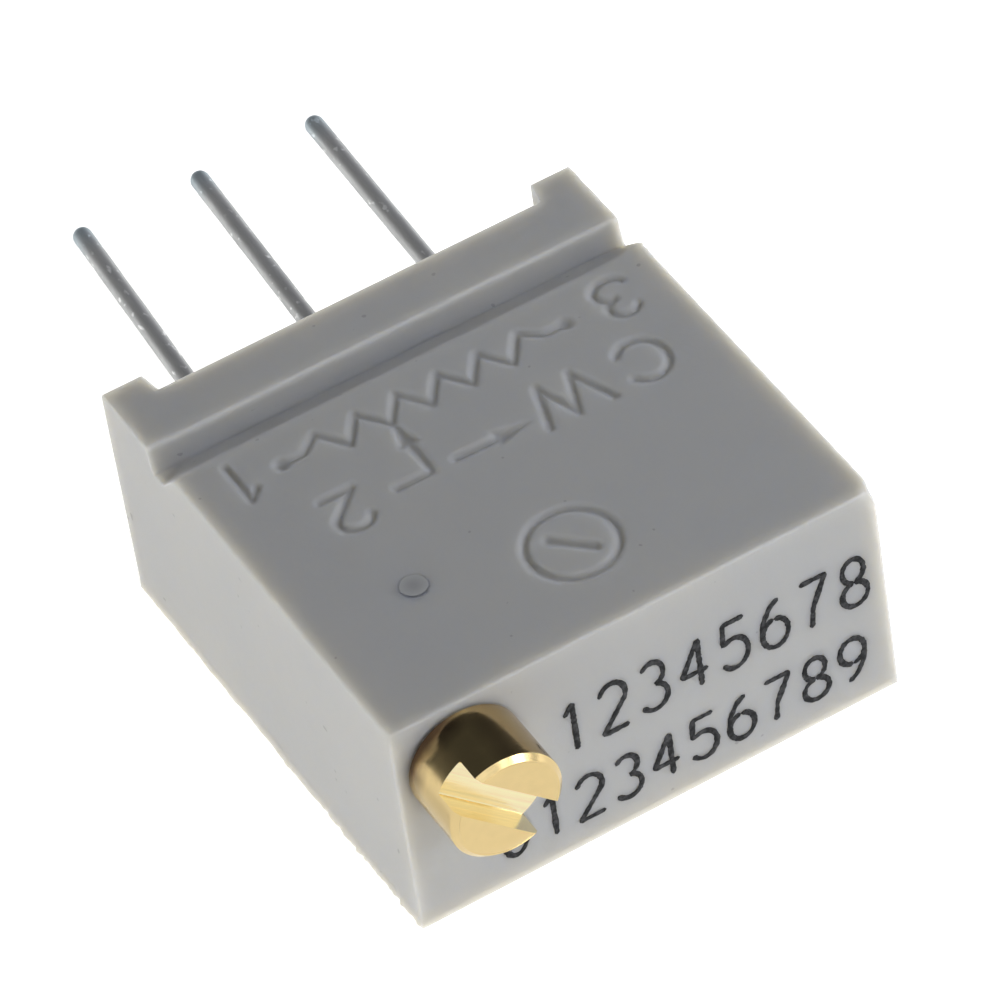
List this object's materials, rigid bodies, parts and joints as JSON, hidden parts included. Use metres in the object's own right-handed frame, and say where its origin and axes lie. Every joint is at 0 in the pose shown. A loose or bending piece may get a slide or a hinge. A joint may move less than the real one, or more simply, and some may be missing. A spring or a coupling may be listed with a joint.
{
  "type": "trimmer potentiometer",
  "caption": "Square multi-turn trimmer potentiometer lying on its back: grey moulded housing, slotted brass adjustment screw at one corner and a row of straight wire leads.",
  "frame": {"origin": "centre of the housing's back face, on which the trimmer lies", "axes": "+X across the width towards terminal 3, +Y out along the leads away from the adjustment screw, +Z out of the marked face"},
  "size_m": [0.0096, 0.0181, 0.0048],
  "materials": {
    "housing_plastic": "moulded glass-filled plastic, fine matt",
    "brass": "turned, bright",
    "seal_rubber": "smooth",
    "pin_plastic": "cut end",
    "wheel_plastic": "moulded, natural",
    "wiper_metal": "rolled precious-metal spring sheet",
    "ceramic": "fired alumina",
    "cermet": "fired resistive glaze",
    "silver_print": "fired conductor print",
    "tinned_copper": "tinned copper wire",
    "solder": "solder",
    "resin": "cured potting resin"
  },
  "bodies": {
    "case": {"housing": "housing_plastic", "retaining_pin": "pin_plastic", "ceramic_substrate": "ceramic", "resistive_track": "cermet", "collector_print": "silver_print", "end_print_1": "silver_print", "end_print_3": "silver_print", "lead_1": "tinned_copper", "lead_2": "tinned_copper", "lead_3": "tinned_copper", "solder_joint_1": "solder", "solder_joint_2": "solder", "solder_joint_3": "solder", "resin_seal": "resin"},
    "screw": {"adjustment_screw": "brass", "sealing_ring": "seal_rubber"},
    "rotor": {"worm_wheel": "wheel_plastic", "wiper_contact": "wiper_metal"}
  },
  "joints": [
    {"name": "screw_turn", "type": "hinge", "parent": "case", "child": "screw", "pos_m": [-0.00348, 0, 0.0036], "axis": [0, 1, 0], "range_deg": [-4500, 4500]},
    {"name": "rotor_turn", "type": "hinge", "parent": "case", "child": "rotor", "pos_m": [0, -0.00016, 0], "axis": [0, 0, 1], "range_deg": [-150, 150]}
  ],
  "couplings": [
    {"joint": "rotor_turn", "follows": "screw_turn", "ratio": 0.033333}
  ]
}
